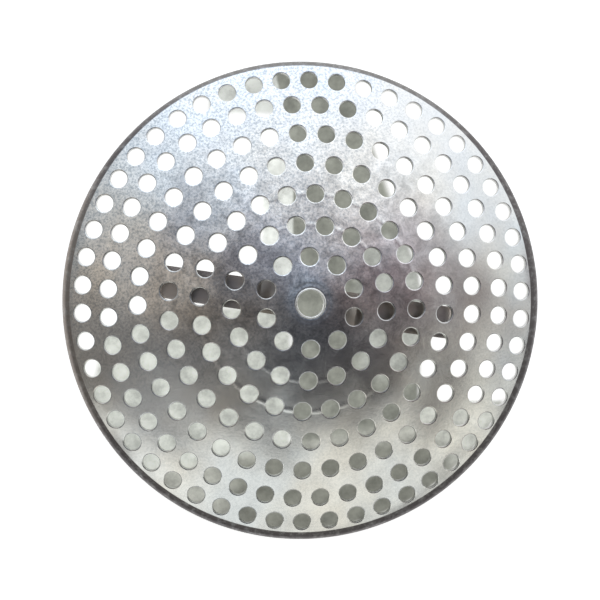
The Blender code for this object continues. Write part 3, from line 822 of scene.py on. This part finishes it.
def pale_floor():
    """Matt pale board. It is white, with soft grey painted shade on the parts of it that lie under the dome.

    Camera and mirror rays see it lighter, so that it is white outside the dome's shadow.
    """
    finish, tree = new_material("matt_white_board")
    place = add_node(tree, "TexCoord").outputs["Object"]
    reach = add_node(tree, "VectorMath", {0: place}, operation="LENGTH").outputs["Value"]
    under = add_node(tree, "MapRange", {"Value": reach}, interpolation_type="SMOOTHSTEP",
                     in_1=DOME_RADIUS - BOARD_UNDER[0], in_2=DOME_RADIUS - BOARD_UNDER[1], in_3=0.0, in_4=1.0)
    under = under.outputs[0]
    uneven = add_node(tree, "TexNoise", {"Vector": place}, Scale=1 / BOARD_UNEVEN, Detail=5.0, Roughness=0.7)
    plain = add_node(tree, "ValToRGB", {"Fac": uneven.outputs["Fac"]})
    set_ramp(plain, BOARD_TONES)
    tone = plain.outputs[0]
    reach, strength = BOARD_VARY
    vary = add_node(tree, "MapRange", {"Value": uneven.outputs["Fac"]}, in_1=reach[0], in_2=reach[1],
                    in_3=strength[0], in_4=strength[1])
    for colour, edges in BOARD_SHADES:
        patch = soft_patch(tree, [(place, along, off * MM, full * MM) for along, off, full in edges])
        amount = add_node(tree, "Math", {0: patch, 1: under}, operation="MULTIPLY").outputs[0]
        dull = add_node(tree, "VectorMath", {"Scale": vary.outputs[0]}, operation="SCALE",
                        in_0=linear(colour)[:3])
        tone = add_node(tree, "Mix", {"Factor": amount, 6: tone, 7: dull.outputs[0]}, data_type="RGBA")
        tone = tone.outputs[2]
    path = add_node(tree, "LightPath")
    seen = add_node(tree, "Math", {0: path.outputs["Is Camera Ray"], 1: path.outputs["Is Glossy Ray"]},
                    operation="ADD")
    seen = add_node(tree, "Math", {0: seen.outputs[0], 1: path.outputs["Is Transmission Ray"]},
                    operation="ADD")
    matt = add_node(tree, "VectorMath", {0: tone}, operation="SCALE", Scale=BOARD_WHITE)
    board = add_node(tree, "BsdfDiffuse", {"Color": matt.outputs[0]})
    level = add_node(tree, "MapRange", {"Value": under}, in_1=0.0, in_2=1.0, in_3=BOARD_GLOW[0],
                     in_4=BOARD_GLOW[1])
    strength = add_node(tree, "Math", {0: seen.outputs[0], 1: level.outputs[0]}, operation="MULTIPLY")
    glow = add_node(tree, "Emission", {"Color": tone, "Strength": strength.outputs[0]})
    both = add_node(tree, "AddShader", {0: board.outputs[0], 1: glow.outputs[0]})
    add_node(tree, "OutputMaterial", {"Surface": both.outputs[0]})
    mesh = bpy.data.meshes.new("white_board")
    corners = BOARD_HALF * np.array([(-1, -1, 0), (1, -1, 0), (1, 1, 0), (-1, 1, 0)])
    mesh.from_pydata(corners.tolist(), [], [(0, 1, 2, 3)])
    mesh.materials.append(finish)
    floor = bpy.data.objects.new("white_board", mesh)
    bpy.context.scene.collection.objects.link(floor)


def soft_light(tree, way, towards, sharpness, colour):
    """A soft round light: the cosine of the angle from its middle to a power, times its colour."""
    near = add_node(tree, "VectorMath", {0: way}, operation="DOT_PRODUCT", in_1=Vector(towards).normalized())
    near = add_node(tree, "Math", {0: near.outputs["Value"]}, operation="MAXIMUM", in_1=0.0)
    near = add_node(tree, "Math", {0: near.outputs[0]}, operation="POWER", in_1=sharpness)
    return add_node(tree, "VectorMath", {0: near.outputs[0]}, operation="MULTIPLY", in_1=colour).outputs[0]


def studio_world():
    """Soft surroundings of the cover.

    They are dark overhead, with a wide window towards the photograph's top, a pale wall low in front, a
    panel on the right, pale low walls all round and a few soft lights. The window and the wall have curved
    edges: these are measured in a direction whose x is squared.
    """
    world = bpy.data.worlds.new("studio")
    world.use_nodes = True
    tree = world.node_tree
    tree.nodes.clear()
    way = add_node(tree, "TexCoord").outputs["Generated"]
    part = add_node(tree, "SeparateXYZ", {0: way})
    squared = add_node(tree, "Math", {0: part.outputs["X"]}, operation="POWER", in_1=2.0)
    bent = add_node(tree, "CombineXYZ", {"X": squared.outputs[0], "Y": part.outputs["Y"],
                                         "Z": part.outputs["Z"]}).outputs[0]
    foot = (way, (0.0, 0.0, 1.0), *WALL_FOOT)
    window = soft_patch(tree, [(bent, (WINDOW_CURVE, 1.0, 0.0), *WINDOW_EDGE),
                               (way, (0.0, 0.0, 1.0), *WINDOW_FOOT)])
    off, full, lost = WINDOW_LEFT_SHADE
    shade = soft_patch(tree, [(way, (-1.0, 0.0, 0.0), off, full)])
    shade = add_node(tree, "MapRange", {"Value": shade}, in_1=0.0, in_2=1.0, in_3=1.0, in_4=1.0 - lost)
    window = add_node(tree, "Math", {0: window, 1: shade.outputs[0]}, operation="MULTIPLY").outputs[0]
    wall = soft_patch(tree, [(bent, (WALL_CURVE, -1.0, 0.0), *WALL_EDGE), foot])
    panel = soft_light(tree, way, *RIGHT_PANEL)
    panel_foot = soft_patch(tree, [foot])
    low = soft_patch(tree, [(way, (0.0, 0.0, 1.0), *LOW_WALLS_EDGE)])
    parts = [
        add_node(tree, "VectorMath", {0: window}, operation="MULTIPLY", in_1=WINDOW_LIGHT).outputs[0],
        add_node(tree, "VectorMath", {0: wall}, operation="MULTIPLY", in_1=WALL_LIGHT).outputs[0],
        add_node(tree, "VectorMath", {0: panel, 1: panel_foot}, operation="MULTIPLY").outputs[0],
        add_node(tree, "VectorMath", {0: low}, operation="MULTIPLY", in_1=LOW_WALLS).outputs[0],
    ]
    parts += [soft_light(tree, way, *one) for one in SOFT_LIGHTS]
    light = add_node(tree, "VectorMath", {0: parts[0]}, operation="ADD", in_1=ROOM_LIGHT).outputs[0]
    for one in parts[1:]:
        light = add_node(tree, "VectorMath", {0: light, 1: one}, operation="ADD").outputs[0]
    path = add_node(tree, "LightPath")
    shown = add_node(tree, "Mix", {"Factor": path.outputs["Is Camera Ray"], 6: light}, data_type="RGBA",
                     in_7=linear("#FFFFFF"))
    back = add_node(tree, "Background", {"Color": shown.outputs[2]}, Strength=1.0)
    add_node(tree, "OutputWorld", {"Surface": back.outputs[0]})
    bpy.context.scene.world = world


place_camera()
punched_dome(plated_sheet())
swivel_strap(spring_strip())
tube_rivet(plated_rivet())
pale_floor()
studio_world()
bpy.context.scene.view_settings.view_transform = "Standard"
